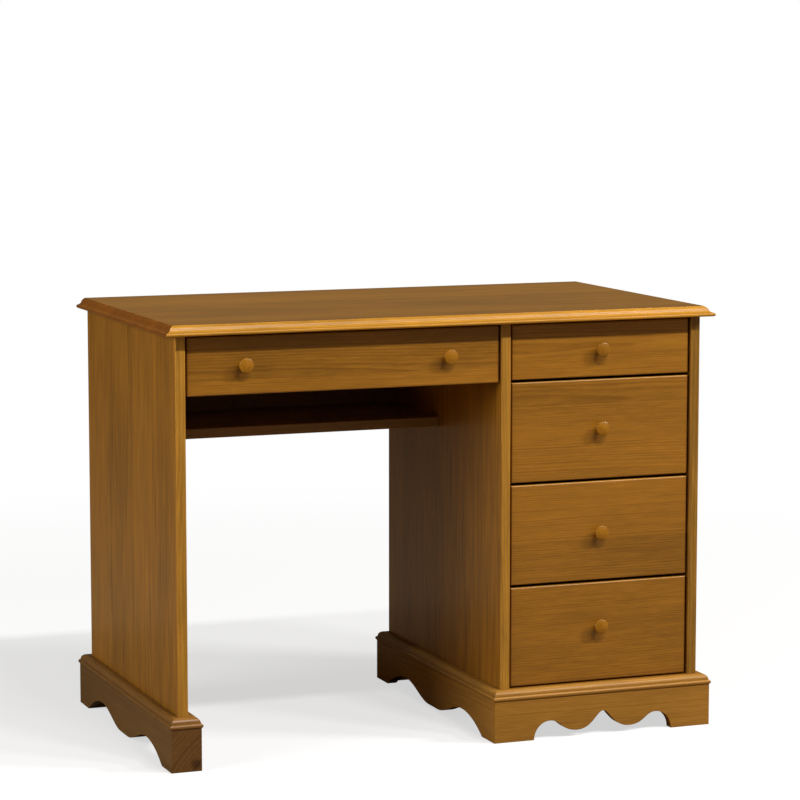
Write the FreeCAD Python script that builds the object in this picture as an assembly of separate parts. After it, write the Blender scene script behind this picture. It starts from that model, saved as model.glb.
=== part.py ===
import FreeCAD, Part
import os
from math import sqrt

# Kneehole desk in solid pine: a moulded top on a left end panel and a pedestal of four drawers,
# with a wide drawer and a half-depth shelf over the knees. Millimetres.
# X points right, Y to the back and Z up. The origin is on the floor, in the middle of the outline.

# Whole desk
desk_width = 1020.0
desk_height = 760.0
top_depth = 570.0

# Top, and its moulded edge: bead, ogee, and a small square step under the flat
top_thickness = 18.0
top_edge_inset = 15.5
top_bead = 6.5
ogee_bulge = 0.85
ogee_hollow = 0.5
step_height = 1.0
step_ledge = 0.5

# Ledge between the bead and the rest of every moulded edge
bead_ledge = 0.9

# Upright panels
panel_thickness = 18.0
panel_setback = 20.0
panel_foot_height = 50.0
panel_edge_radius = 2.0
pedestal_opening = 349.0

# Plinth boards, and the mouldings that lie on them
lip_overhang = 3.0
plinth_thickness = 18.0
plinth_height = 74.5
moulding_height = 17.5
moulding_proud = 2.5
moulding_inset = 11.0
moulding_bead = 7.5
moulding_bead_swell = 2.6
ovolo_bulge = 2.3
corner_block = 40.0
corner_block_lift = 4.0

# Scallops of the front and back plinth boards
front_pad = 76.0
front_arch_run = 31.0
front_arch_rise = 33.0
front_wave_reach = 50.5
front_wave_rise = 12.0
front_peak_rise = 43.0

# Scallops of the side plinth boards and of the left foot
side_pad = 58.0
side_arch_run = 95.0
side_arch_rise = 31.0
side_drop_reach = 22.0
side_drop_rise = 4.5

# How far a curve leaves its turning point level, as a share of its span
arch_grip = 0.4
wave_grip = 0.6
peak_grip = 0.25
drop_grip = 0.35

# How an arch springs from its pad: lean and lift of its start, and grip of its crown, as shares of
# its run and rise. The front arches start upright as ellipses, the side arches lean as parabolas.
front_spring = (0.0, 0.55, 0.55)
side_spring = (0.33, 0.67, 0.33)

# Shelf and back over the knees
shelf_thickness = 18.0
niche_height = 95.0
shelf_depth = 240.0
shelf_edge_radius = 1.5
kneehole_back_thickness = 18.0

# Pedestal floor and back
bottom_board_thickness = 18.0
pedestal_back_thickness = 5.0
pedestal_back_rebate = 8.0

# Drawer fronts and the gaps round them
front_thickness = 18.0
front_edge_radius = 2.5
drawer_recess = 4.0
side_gap = 3.0
top_gap = 4.0
stack_gap = 5.0
bottom_gap = 2.5
shallow_front_height = 97.0
wide_front_height = 100.0

# Drawer boxes
drawer_side_thickness = 14.0
drawer_back_thickness = 12.0
drawer_bottom_thickness = 4.0
front_lap = 8.0
side_lift = 5.0
side_drop = 22.0
bottom_lift = 8.0
bottom_tongue = 5.0
back_tongue = 4.0
back_inset = 12.0
drawer_rear_gap = 25.0

# Runners in the drawer sides' grooves
runner_height = 18.0
runner_thickness = 10.0
runner_clearance = 0.4
runner_rear_gap = 15.0
pedestal_screw_inset = 60.0
centre_screw_inset = 95.0

# Knobs: a neck that flares into a head with a round rim and a slightly domed face
knob_diameter = 25.6
knob_length = 15.0
knob_base_diameter = 15.0
knob_neck_bulge = 1.6
knob_rim_radius = 2.4
knob_crown = 1.7
wide_knob_inset = 98.5
wide_knob_shift = 4.0
knob_rises = (0.0, 1.5, -3.0, 10.0)

# Screws and dowels
screw_diameter = 4.0
screw_head_diameter = 8.0
screw_head_height = 2.2
screw_in_panel = 12.0
screw_in_knob = 9.0
screw_hole_fit = 0.25
dowel_diameter = 8.0
dowel_in_face = 11.0
dowel_in_edge = 20.0
dowel_fit = 0.1
dowel_end_room = 1.0
dowel_inset = 60.0
shelf_dowel_inset = 40.0
panel_dowel_count = 3
shelf_dowel_count = 3
back_dowel_count = 2

same_place = 0.001
V = FreeCAD.Vector
UP = V(0, 0, 1)

# Places along X
plinth_face = desk_width / 2 - lip_overhang
panel_face = plinth_face - plinth_thickness
left_panel_x = (-panel_face, panel_thickness - panel_face)
right_panel_x = (panel_face - panel_thickness, panel_face)
pedestal_x = (right_panel_x[0] - pedestal_opening, right_panel_x[0])
inner_panel_x = (pedestal_x[0] - panel_thickness, pedestal_x[0])
kneehole_x = (left_panel_x[1], inner_panel_x[0])
foot_x = (-plinth_face, left_panel_x[1] + plinth_thickness)
plinth_x = (inner_panel_x[0] - plinth_thickness, plinth_face)

# Places along Y, with the middle of the whole outline at zero
knob_tip = panel_setback + drawer_recess - knob_length
plinth_tip = panel_setback - plinth_thickness - moulding_proud
lip_y = -(min(0, knob_tip, plinth_tip) + top_depth + plinth_thickness + moulding_proud) / 2
panel_y = (lip_y + panel_setback, lip_y + top_depth)
plinth_y = (panel_y[0] - plinth_thickness, panel_y[1] + plinth_thickness)
kneehole_back_y = (panel_y[1] - kneehole_back_thickness, panel_y[1])
pedestal_back_y = (panel_y[1] - pedestal_back_thickness, panel_y[1])
shelf_y = (kneehole_back_y[0] - shelf_depth, kneehole_back_y[0])
drawer_face_y = panel_y[0] + drawer_recess
front_back_y = drawer_face_y + front_thickness
drawer_side_front_y = drawer_face_y + front_lap

# Places along Z
top_z = (desk_height - top_thickness, desk_height)
plinth_top = plinth_height + moulding_height
panel_z = (panel_foot_height, top_z[0])
bottom_board_z = (plinth_top - bottom_board_thickness, plinth_top)
front_top = top_z[0] - top_gap
wide_front_z = (front_top - wide_front_height, front_top)
shelf_top = wide_front_z[0] - niche_height
shelf_z = (shelf_top - shelf_thickness, shelf_top)
kneehole_back_z = (shelf_z[0], top_z[0])
tall_front_space = front_top - shallow_front_height - plinth_top - bottom_gap - 3 * stack_gap
tall_front_height = tall_front_space / 3


def middle(span):
    return (span[0] + span[1]) / 2


def grown(span, amount):
    return (span[0] - amount, span[1] + amount)


def spread(span, inset, count):
    """Evenly spaced places along a span, the outer two at the inset from its ends."""
    first = span[0] + inset
    step = (span[1] - inset - first) / (count - 1)
    return [first + step * n for n in range(count)]


def block(x, y, z):
    """A box between three spans."""
    size = (x[1] - x[0], y[1] - y[0], z[1] - z[0])
    return Part.makeBox(*size, V(x[0], y[0], z[0]))


def rod(diameter, start, direction, length):
    return Part.makeCylinder(diameter / 2, length, start, direction)


def edges_along(points, place):
    """Closed run of lines and arcs. Each point is (a, b, bulge): the bulge is how far the stretch
    that arrives there swells to the left of its chord, and zero makes it straight."""
    edges = []
    for (a0, b0, _), (a1, b1, bulge) in zip(points, points[1:] + points[:1]):
        if bulge:
            chord = sqrt((a1 - a0) ** 2 + (b1 - b0) ** 2)
            crown_a = (a0 + a1) / 2 - bulge * (b1 - b0) / chord
            crown_b = (b0 + b1) / 2 + bulge * (a1 - a0) / chord
            edges.append(Part.Arc(place(a0, b0), place(crown_a, crown_b), place(a1, b1)).toShape())
        else:
            edges.append(Part.makeLine(place(a0, b0), place(a1, b1)))
    return edges


def face_along(points, place):
    return Part.Face(Part.Wire(edges_along(points, place)))


def eased(solid, radius, axis, value):
    """Rounds the edges that lie wholly at one value of an axis (0, 1, 2 for X, Y, Z)."""
    lying = [
        edge
        for edge in solid.Edges
        if all(abs(corner.Point[axis] - value) < same_place for corner in edge.Vertexes)
    ]
    return solid.makeFillet(radius, lying)


def moved(solid, turn, x, y, z):
    """Turns a solid about the upright axis, then carries its origin to a place."""
    solid.rotate(V(0, 0, 0), UP, turn)
    solid.translate(V(x, y, z))
    return solid


def ogee_edge():
    """Moulded edge of the top, from its underside up: inward distance from the tip, height, and bulge.
    The two arcs of the ogee swell in step with their lengths, so that they meet smoothly."""
    foot = (top_bead / 2 + bead_ledge, top_bead)
    head = (top_edge_inset - step_ledge, top_thickness - step_height)
    turn = [low + ogee_hollow * (high - low) for low, high in zip(foot, head)]
    return [
        (top_bead / 2, 0, 0),
        (top_bead / 2, top_bead, top_bead / 2),
        (*foot, 0),
        (*turn, -2 * ogee_bulge * ogee_hollow),
        (*head, 2 * ogee_bulge * (1 - ogee_hollow)),
        (top_edge_inset, top_thickness - step_height, 0),
        (top_edge_inset, top_thickness, 0),
    ]


def ovolo_edge():
    """Moulded edge of the base in the same terms: a low bead, a ledge, and a full rounded shoulder."""
    return [
        (moulding_bead_swell, 0, 0),
        (moulding_bead_swell, moulding_bead, moulding_bead_swell),
        (moulding_bead_swell + bead_ledge, moulding_bead, 0),
        (moulding_inset, moulding_height, ovolo_bulge),
    ]


def moulded_strip(run, depth, height, edge):
    """Strip along X with its moulded tip at Y = 0 and its plain back at the given depth."""
    section = edge + [(depth, height, 0), (depth, 0, 0)]
    return face_along(section, lambda u, v: V(0, u, v)).extrude(V(run, 0, 0))


def mitred(solid, run, depth, height):
    """Cuts both ends of a strip along X at 45 degrees, so that its outer face is the longer."""
    corners = [V(0, 0, 0), V(run, 0, 0), V(run - depth, depth, 0), V(depth, depth, 0), V(0, 0, 0)]
    return solid.common(Part.Face(Part.makePolygon(corners)).extrude(V(0, 0, height)))


def ring(x, y):
    """The four sides of a rectangular frame: name, run, turn and starting corner."""
    width = x[1] - x[0]
    depth = y[1] - y[0]
    return (
        ("front", width, 0, x[0], y[0]),
        ("right", depth, 90, x[1], y[0]),
        ("back", width, 180, x[1], y[1]),
        ("left", depth, 270, x[0], y[1]),
    )


def scallop_spans(run, pad, spring, stations):
    """Bezier poles of a scalloped edge between its pads. A station is a turning point of the left
    half, (distance, height, grip), where the edge runs level."""
    x, z, _ = stations[0]
    lean, lift, crown_grip = spring
    start = (pad + lean * (x - pad), lift * z)
    spans = [[(pad, 0), start, (x - crown_grip * (x - pad), z), (x, z)]]
    for (xa, za, grip_a), (xb, zb, grip_b) in zip(stations, stations[1:]):
        reach = xb - xa
        spans.append([(xa, za), (xa + grip_a * reach, za), (xb - grip_b * reach, zb), (xb, zb)])
    if run / 2 - stations[-1][0] > same_place:
        spans.append([stations[-1][:2], (run / 2, stations[-1][1])])
    return spans + [[(run - x, z) for x, z in reversed(span)] for span in reversed(spans)]


def scalloped_board(run, pad, spring, stations, thickness):
    """Board along X with its outer face at Y = 0, standing on two pads."""
    edges = []
    for poles in scallop_spans(run, pad, spring, stations):
        curve = Part.BezierCurve()
        curve.setPoles([V(x, 0, z) for x, z in poles])
        edges.append(curve.toShape())
    outline = [(run - pad, 0), (run, 0), (run, plinth_height), (0, plinth_height), (0, 0), (pad, 0)]
    for (xa, za), (xb, zb) in zip(outline, outline[1:]):
        edges.append(Part.makeLine(V(xa, 0, za), V(xb, 0, zb)))
    return Part.Face(Part.Wire(edges)).extrude(V(0, thickness, 0))


def front_stations(run):
    return [
        (front_pad + front_arch_run, front_arch_rise, arch_grip),
        (run / 2 - front_wave_reach, front_wave_rise, wave_grip),
        (run / 2, front_peak_rise, peak_grip),
    ]


def side_stations(run):
    return [
        (side_pad + side_arch_run, side_arch_rise, arch_grip),
        (run / 2 - side_drop_reach, side_drop_rise, drop_grip),
    ]


def countersunk(point, direction, length, fit):
    """Solid of a countersunk screw, or of its hole when it gets a fit. The head is at the point."""
    shank = screw_diameter / 2 + fit
    head = screw_head_diameter / 2 + fit
    section = [(0, 0, 0), (head, 0, 0), (shank, screw_head_height, 0), (shank, length + fit, 0)]
    section.append((0, length + fit, 0))
    side = direction.cross(UP)
    profile = face_along(section, lambda r, d: point + side * r + direction * d)
    return profile.revolve(point, direction, 360)


def dowel(point, direction):
    start = point - direction * dowel_in_face
    return rod(dowel_diameter, start, direction, dowel_in_face + dowel_in_edge)


def dowel_hole(point, direction):
    start = point - direction * (dowel_in_face + dowel_end_room)
    length = dowel_in_face + dowel_in_edge + 2 * dowel_end_room
    return rod(dowel_diameter + 2 * dowel_fit, start, direction, length)


def desktop():
    """Slabs that carry the moulding on the front and on the two ends, cut with each other."""
    edge = ogee_edge()
    front = moulded_strip(desk_width, top_depth, top_thickness, edge)
    board = moved(front, 0, -desk_width / 2, lip_y, top_z[0])
    for turn, x, y in ((90, desk_width / 2, lip_y), (270, -desk_width / 2, lip_y + top_depth)):
        end = moulded_strip(top_depth, desk_width, top_thickness, edge)
        board = board.common(moved(end, turn, x, y, top_z[0]))
    return board


def plinth_boards():
    """The scalloped boards round the pedestal, by side, with mitred corners."""
    boards = {}
    for name, run, turn, x, y in ring(plinth_x, plinth_y):
        if name in ("front", "back"):
            board = scalloped_board(run, front_pad, front_spring, front_stations(run), plinth_thickness)
        else:
            board = scalloped_board(run, side_pad, side_spring, side_stations(run), plinth_thickness)
        boards[name] = moved(mitred(board, run, plinth_thickness, plinth_height), turn, x, y, 0)
    return boards


def base_mouldings(x, y):
    """The moulded strips on top of a plinth or foot, by side, with mitred corners."""
    strips = {}
    depth = plinth_thickness + moulding_proud
    edge = ovolo_edge()
    for name, run, turn, x0, y0 in ring(grown(x, moulding_proud), grown(y, moulding_proud)):
        strip = moulded_strip(run, depth, moulding_height, edge)
        strips[name] = moved(mitred(strip, run, depth, moulding_height), turn, x0, y0, plinth_height)
    return strips


def left_foot():
    """Solid foot with a stopped groove that takes the end panel."""
    run = plinth_y[1] - plinth_y[0]
    foot = scalloped_board(run, side_pad, side_spring, side_stations(run), foot_x[1] - foot_x[0])
    groove = block(left_panel_x, panel_y, (panel_foot_height, plinth_height))
    return moved(foot, 270, foot_x[0], plinth_y[1], 0).cut(groove)


def corner_blocks():
    """Glue blocks inside the four mitres of the plinth, under the panels' ends."""
    blocks = []
    z = (corner_block_lift, panel_foot_height)
    for x in (inner_panel_x[0], right_panel_x[1] - corner_block):
        for y in (panel_y[0], panel_y[1] - corner_block):
            blocks.append(block((x, x + corner_block), (y, y + corner_block), z))
    return blocks


def upright(x):
    return eased(block(x, panel_y, panel_z), panel_edge_radius, 1, panel_y[0])


def dowel_places():
    """Joint point and direction of each dowel; the direction enters the end or edge of a board."""
    places = []
    for panel in (left_panel_x, inner_panel_x, right_panel_x):
        for y in spread(panel_y, dowel_inset, panel_dowel_count):
            places.append((V(middle(panel), y, top_z[0]), -UP))
    board_ends = []
    for y in spread(shelf_y, shelf_dowel_inset, shelf_dowel_count):
        board_ends.append((kneehole_x, y, middle(shelf_z)))
    for z in spread(kneehole_back_z, shelf_dowel_inset, back_dowel_count):
        board_ends.append((kneehole_x, middle(kneehole_back_y), z))
    for y in spread(panel_y, dowel_inset, panel_dowel_count):
        board_ends.append((pedestal_x, y, middle(bottom_board_z)))
    for span, y, z in board_ends:
        places.append((V(span[0], y, z), V(1, 0, 0)))
        places.append((V(span[1], y, z), V(-1, 0, 0)))
    return places


def drawer_side_z(front_z):
    return (front_z[0] + side_lift, front_z[1] - side_drop)


def runner_z(front_z):
    centre = middle(drawer_side_z(front_z))
    return (centre - runner_height / 2, centre + runner_height / 2)


def runner_pair(opening_x, front_z, rear_y, screw_inset):
    """The two runners of a drawer, their screws and the holes for those. A runner's front end stops
    the closing drawer at its front."""
    y = (drawer_side_front_y + runner_clearance, rear_y - runner_rear_gap)
    z = runner_z(front_z)
    runners, screws, holes = [], [], []
    for wall, inward in ((opening_x[0], 1), (opening_x[1], -1)):
        inner_face = wall + inward * runner_thickness
        runner = block(sorted((wall, inner_face)), y, z)
        for place in spread(y, screw_inset, 2):
            head = V(inner_face, place, middle(z))
            length = runner_thickness + screw_in_panel
            screws.append(countersunk(head, V(-inward, 0, 0), length, 0))
            holes.append(countersunk(head, V(-inward, 0, 0), length, screw_hole_fit))
        runners.append(runner.cut(holes))
    return runners, screws, holes


def knob(x, z):
    """Turned mushroom knob on the face of a drawer front, bored for its screw."""
    radius = knob_diameter / 2 - knob_rim_radius
    rim_top = knob_length - knob_crown
    sphere = (radius ** 2 + knob_crown ** 2) / (2 * knob_crown)
    dome_bulge = sphere - sqrt(sphere ** 2 - (radius ** 2 + knob_crown ** 2) / 4)
    section = [
        (0, 0, 0),
        (knob_base_diameter / 2, 0, 0),
        (radius, rim_top - 2 * knob_rim_radius, knob_neck_bulge),
        (radius, rim_top, -knob_rim_radius),
        (0, knob_length, -dome_bulge),
    ]
    centre = V(x, drawer_face_y, z)
    profile = face_along(section, lambda r, d: centre + V(r, -d, 0))
    turned = profile.revolve(centre, V(0, 1, 0), 360)
    return turned.cut(rod(screw_diameter, centre, V(0, -1, 0), screw_in_knob))


def knob_screw(x, z):
    """Pan-head screw from inside the drawer, through the front and into the knob."""
    tip = V(x, drawer_face_y - screw_in_knob, z)
    head = V(x, front_back_y, z)
    shank = rod(screw_diameter, tip, V(0, 1, 0), screw_in_knob + front_thickness)
    return shank.fuse(rod(screw_head_diameter, head, V(0, 1, 0), screw_head_height)).removeSplitter()


def drawer(opening_x, front_z, rear_y, knob_places):
    """The pieces of one drawer. Its sides lap into the front and ride on the runners, the bottom
    slides in a groove, and the back stands on the bottom between the sides."""
    front_x = grown(opening_x, -side_gap)
    inner_x = grown(front_x, -drawer_side_thickness)
    side_x = (front_x[0], inner_x[0])
    side_y = (drawer_side_front_y, rear_y - drawer_rear_gap)
    side_z = drawer_side_z(front_z)
    back_end = side_y[1] - back_inset
    bottom_z = (side_z[0] + bottom_lift, side_z[0] + bottom_lift + drawer_bottom_thickness)
    bottom_x = grown(inner_x, bottom_tongue)

    bottom = block(bottom_x, (front_back_y - bottom_tongue, back_end), bottom_z)
    back_y = (back_end - drawer_back_thickness, back_end)
    back = block(grown(inner_x, back_tongue), back_y, (bottom_z[1], side_z[1]))

    groove_depth = runner_thickness - side_gap + runner_clearance
    groove_z = grown(runner_z(front_z), runner_clearance)
    side_blank = block(side_x, side_y, side_z)
    runner_groove = block((front_x[0], front_x[0] + groove_depth), side_y, groove_z)
    left_side = side_blank.cut([runner_groove, block(bottom_x, side_y, bottom_z), back])
    centre_plane = V(middle(front_x), 0, 0)
    right_side = left_side.mirror(centre_plane, V(1, 0, 0))

    front = block(front_x, (drawer_face_y, front_back_y), front_z)
    front = eased(front, front_edge_radius, 1, drawer_face_y)
    laps = [side_blank, side_blank.mirror(centre_plane, V(1, 0, 0))]
    hole = screw_diameter + 2 * screw_hole_fit
    holes = [rod(hole, V(x, drawer_face_y, z), V(0, 1, 0), front_thickness) for x, z in knob_places]
    return {
        "front": [front.cut(laps + [bottom] + holes)],
        "left_side": [left_side],
        "right_side": [right_side],
        "back": [back],
        "bottom": [bottom],
        "knob": [knob(x, z) for x, z in knob_places],
        "knob_screw": [knob_screw(x, z) for x, z in knob_places],
    }


def pedestal_fronts():
    """Heights of the four pedestal drawer fronts, from the top down."""
    spans = []
    level = front_top
    for height in (shallow_front_height, tall_front_height, tall_front_height, tall_front_height):
        spans.append((level - height, level))
        level -= height + stack_gap
    return spans


def build():
    """Every node's name with its solids."""
    nodes = {}
    fronts = pedestal_fronts()

    # Drawers
    wide_front_x = grown(kneehole_x, -side_gap)
    wide_knob_x = [x + wide_knob_shift for x in spread(wide_front_x, wide_knob_inset, 2)]
    wide_knobs = [(x, middle(wide_front_z)) for x in wide_knob_x]
    drawers = {"centre_drawer": drawer(kneehole_x, wide_front_z, kneehole_back_y[0], wide_knobs)}
    for number, (front_z, rise) in enumerate(zip(fronts, knob_rises), start=1):
        place = [(middle(pedestal_x), middle(front_z) + rise)]
        drawers[f"pedestal_drawer_{number}"] = drawer(pedestal_x, front_z, pedestal_back_y[0], place)
    for name, pieces in drawers.items():
        for piece, solids in pieces.items():
            nodes[f"{name}_{piece}"] = solids

    # Runners and their screws
    centre_runners, screws, holes = runner_pair(
        kneehole_x, wide_front_z, kneehole_back_y[0], centre_screw_inset
    )
    nodes["centre_drawer_runners"] = centre_runners
    nodes["pedestal_runners"] = []
    for front_z in fronts:
        pair = runner_pair(pedestal_x, front_z, pedestal_back_y[0], pedestal_screw_inset)
        nodes["pedestal_runners"] += pair[0]
        screws += pair[1]
        holes += pair[2]
    nodes["runner_screws"] = screws

    # Dowels
    places = dowel_places()
    nodes["dowels"] = [dowel(*place) for place in places]
    dowel_holes = [dowel_hole(*place) for place in places]

    # Boards
    back_z = (bottom_board_z[0], panel_z[1])
    pedestal_back = block(grown(pedestal_x, pedestal_back_rebate), pedestal_back_y, back_z)
    bottom_board = block(pedestal_x, (panel_y[0], pedestal_back_y[0]), bottom_board_z)
    shelf = eased(block(kneehole_x, shelf_y, shelf_z), shelf_edge_radius, 1, shelf_y[0])
    nodes["desktop"] = [desktop().cut(dowel_holes)]
    nodes["left_end_panel"] = [upright(left_panel_x).cut(holes + dowel_holes)]
    nodes["pedestal_left_panel"] = [upright(inner_panel_x).cut([pedestal_back] + holes + dowel_holes)]
    nodes["pedestal_right_panel"] = [upright(right_panel_x).cut([pedestal_back] + holes + dowel_holes)]
    nodes["pedestal_back_panel"] = [pedestal_back]
    nodes["pedestal_bottom_board"] = [bottom_board.cut(dowel_holes)]
    nodes["kneehole_shelf"] = [shelf.cut(dowel_holes)]
    kneehole_back = block(kneehole_x, kneehole_back_y, kneehole_back_z)
    nodes["kneehole_back_panel"] = [kneehole_back.cut(dowel_holes)]

    # Left foot, plinth and mouldings
    nodes["left_foot_rail"] = [left_foot()]
    foot_strips = base_mouldings(foot_x, plinth_y)
    nodes["left_foot_moulding_outer"] = [foot_strips["left"]]
    nodes["left_foot_moulding_inner"] = [foot_strips["right"]]
    nodes["left_foot_end_mouldings"] = [foot_strips["front"], foot_strips["back"]]
    for name, board in plinth_boards().items():
        nodes[f"plinth_{name}_board"] = [board]
    for name, strip in base_mouldings(plinth_x, plinth_y).items():
        nodes[f"plinth_moulding_{name}"] = [strip]
    nodes["plinth_corner_blocks"] = corner_blocks()
    return nodes


def write(nodes):
    os.makedirs("parts", exist_ok=True)
    for name, shapes in nodes.items():
        solids = [solid for shape in shapes for solid in shape.Solids]
        whole = solids[0] if len(solids) == 1 else Part.makeCompound(solids)
        sound = all(solid.isValid() for solid in solids)
        print(f"{name}: {len(solids)} solids, {whole.Volume / 1000:.1f} cm3, valid {sound}")
        whole.exportStep(f"parts/{name}.step")


write(build())
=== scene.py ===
"""Kneehole desk in honey pine: finishes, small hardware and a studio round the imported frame."""
import logging
import math
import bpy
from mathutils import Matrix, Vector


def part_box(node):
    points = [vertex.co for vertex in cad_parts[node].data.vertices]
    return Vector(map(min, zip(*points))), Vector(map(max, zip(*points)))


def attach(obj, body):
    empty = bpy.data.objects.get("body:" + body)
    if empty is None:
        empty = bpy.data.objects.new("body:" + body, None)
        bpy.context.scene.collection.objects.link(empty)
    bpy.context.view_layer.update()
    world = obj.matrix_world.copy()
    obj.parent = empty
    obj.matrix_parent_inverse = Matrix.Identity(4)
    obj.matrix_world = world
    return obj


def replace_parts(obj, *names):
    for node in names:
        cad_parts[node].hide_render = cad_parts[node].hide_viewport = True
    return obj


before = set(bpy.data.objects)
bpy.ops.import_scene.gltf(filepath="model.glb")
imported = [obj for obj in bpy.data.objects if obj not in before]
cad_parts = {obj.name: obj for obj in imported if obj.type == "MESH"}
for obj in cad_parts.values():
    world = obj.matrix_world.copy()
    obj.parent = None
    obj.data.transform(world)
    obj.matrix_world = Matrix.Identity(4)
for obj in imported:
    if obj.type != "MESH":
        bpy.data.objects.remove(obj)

import zlib
from dataclasses import dataclass
from enum import Enum
from typing import ClassVar, Iterable, Mapping, Optional, Sequence, Union

import bmesh
import bpy
from mathutils import Matrix, Vector

log = logging.getLogger("kneehole_desk")

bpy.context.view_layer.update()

FACING_BACK = Matrix.Rotation(-math.pi / 2, 4, "X")

# Painted light and shade on the drawer fronts: the top drawer lighter, the lower ones darker
# towards the bottom.
FRONT_LIGHT_AND_SHADE = {
    "centre_drawer": 0.95,
    "pedestal_drawer_1": 1.20,
    "pedestal_drawer_2": 1.01,
    "pedestal_drawer_3": 0.95,
    "pedestal_drawer_4": 0.87,
}

Pair = tuple[float, float]
Triple = tuple[float, float, float]
Colour = Triple
Socket = bpy.types.NodeSocket
Feed = Union[float, tuple, Socket]


class Lay(Enum):
    """How a board lies: the axes along its grain, across its face and into it.

    The axes 0, 1 and 2 are X, Y and Z.
    """

    FLAT_LONG = (0, 1, 2)
    UPRIGHT_LONG = (0, 2, 1)
    UPRIGHT_DEEP = (1, 2, 0)
    STANDING = (2, 1, 0)
    STANDING_BACK = (2, 0, 1)
    TURNED = (1, 0, 2)


class Blend(Enum):
    """How one colour is laid over another."""

    COVER = "MIX"
    STAIN = "MULTIPLY"
    GLAZE = "SOFT_LIGHT"


def opaque(colour: Colour) -> tuple[float, float, float, float]:
    """Gives a colour its full alpha."""
    return (*colour, 1.0)


class Wiring:
    """Adds shader nodes to one tree and joins their sockets."""

    def __init__(self, tree: bpy.types.NodeTree) -> None:
        """Keeps the tree that the nodes go into."""
        self.tree = tree

    def add(self, kind: str, **settings: object) -> bpy.types.Node:
        """Adds a node.

        Args:
            kind: Blender's name for the node's type.
            settings: values for the node's own properties.

        Returns:
            The new node.
        """
        node = self.tree.nodes.new(kind)
        for name, value in settings.items():
            setattr(node, name, value)
        return node

    def feed(self, socket: Socket, value: Feed) -> None:
        """Links a socket to another one, or sets it to a constant.

        Args:
            socket: the input that takes the value.
            value: an output socket, a number or a tuple.
        """
        if isinstance(value, bpy.types.NodeSocket):
            self.tree.links.new(value, socket)
        else:
            socket.default_value = value

    def fed(self, node: bpy.types.Node, values: dict[Union[int, str], Feed]) -> bpy.types.Node:
        """Feeds a node's inputs.

        Args:
            node: the node.
            values: what goes in, by the input's number or name.

        Returns:
            The same node.
        """
        for socket, value in values.items():
            self.feed(node.inputs[socket], value)
        return node

    def math(self, operation: str, *values: Feed) -> Socket:
        """Does sums on one to three numbers.

        Args:
            operation: Blender's name for the sum.
            values: what goes in, in order.

        Returns:
            The socket that holds the result.
        """
        node = self.add("ShaderNodeMath", operation=operation)
        return self.fed(node, dict(enumerate(values))).outputs[0]

    def times(self, first: Feed, second: Feed) -> Socket:
        """Multiplies two numbers and returns the product's socket."""
        return self.math("MULTIPLY", first, second)

    def centred(self, value: Feed) -> Socket:
        """Shifts a value that runs from 0 to 1 to lie about zero, and returns its socket."""
        return self.math("SUBTRACT", value, 0.5)

    def total(self, *values: Feed) -> Socket:
        """Adds any number of values and returns the sum's socket."""
        result = values[0]
        for value in values[1:]:
            result = self.math("ADD", result, value)
        return result

    def vector(self, x: Feed, y: Feed, z: Feed) -> Socket:
        """Joins three numbers into a vector and returns its socket."""
        return self.fed(self.add("ShaderNodeCombineXYZ"), {0: x, 1: y, 2: z}).outputs[0]

    def scaled(self, parts: Iterable[Feed], rates: Iterable[float]) -> Socket:
        """Multiplies each part of a place by its own rate and returns the vector's socket."""
        return self.vector(*(self.times(part, rate) for part, rate in zip(parts, rates)))

    def parts(self, vector: Feed) -> Sequence[Socket]:
        """Splits a vector and returns its three sockets."""
        return self.fed(self.add("ShaderNodeSeparateXYZ"), {0: vector}).outputs

    def vector_math(self, operation: str, *vectors: Feed) -> Mapping[str, Socket]:
        """Does sums on one or two vectors.

        Args:
            operation: Blender's name for the sum.
            vectors: what goes in, in order.

        Returns:
            The result's sockets, Vector or Value.
        """
        node = self.add("ShaderNodeVectorMath", operation=operation)
        return self.fed(node, dict(enumerate(vectors))).outputs

    def noise(self, vector: Feed, detail: float = 2.0, roughness: float = 0.5) -> Socket:
        """Smooth noise about zero.

        Args:
            vector: where it is read, already scaled.
            detail: number of finer layers.
            roughness: strength of each finer layer.

        Returns:
            The socket of a value from about -0.5 to 0.5.
        """
        node = self.add("ShaderNodeTexNoise")
        self.fed(node, {"Vector": vector, "Scale": 1.0, "Detail": detail, "Roughness": roughness})
        return self.centred(node.outputs[0])

    def dice(self, vector: Feed) -> Mapping[str, Socket]:
        """Throws an even random Value and Color for each vector, and returns their sockets."""
        return self.fed(self.add("ShaderNodeTexWhiteNoise"), {"Vector": vector}).outputs

    def threshold(self, value: Feed, span: Pair) -> Socket:
        """Rises smoothly from 0 to 1 as a value goes through a span.

        Args:
            value: what is tested.
            span: where the rise starts and ends; the end may be below the start, for a fall.

        Returns:
            The socket of the clamped result.
        """
        start, end = span
        node = self.add("ShaderNodeMapRange", interpolation_type="SMOOTHSTEP")
        return self.fed(node, {"Value": value, "From Min": start, "From Max": end}).outputs[0]

    def blend(self, share: Feed, under: Feed, over: Feed, how: Blend = Blend.COVER) -> Socket:
        """Mixes two colours.

        Args:
            share: how much of the second is used.
            under: colour under the mix.
            over: colour laid over it.
            how: the way they mix.

        Returns:
            The socket of the mixed colour.
        """
        node = self.add("ShaderNodeMix", data_type="RGBA", blend_type=how.value, clamp_factor=True)
        colours = {socket.name: socket for socket in node.inputs if socket.type == "RGBA"}
        self.feed(node.inputs["Factor"], share)
        self.feed(colours["A"], under)
        self.feed(colours["B"], over)
        return next(socket for socket in node.outputs if socket.type == "RGBA")

    def toned(self, colour: Feed, tone: Feed) -> Socket:
        """Darkens or lightens a colour and returns its socket."""
        return self.blend(1.0, colour, self.vector(tone, tone, tone), Blend.STAIN)

    def layered(self, share: Feed, under: Feed, over: Feed) -> Socket:
        """Mixes two shaders and returns the result's socket."""
        return self.fed(self.add("ShaderNodeMixShader"), {0: share, 1: under, 2: over}).outputs[0]


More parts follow.
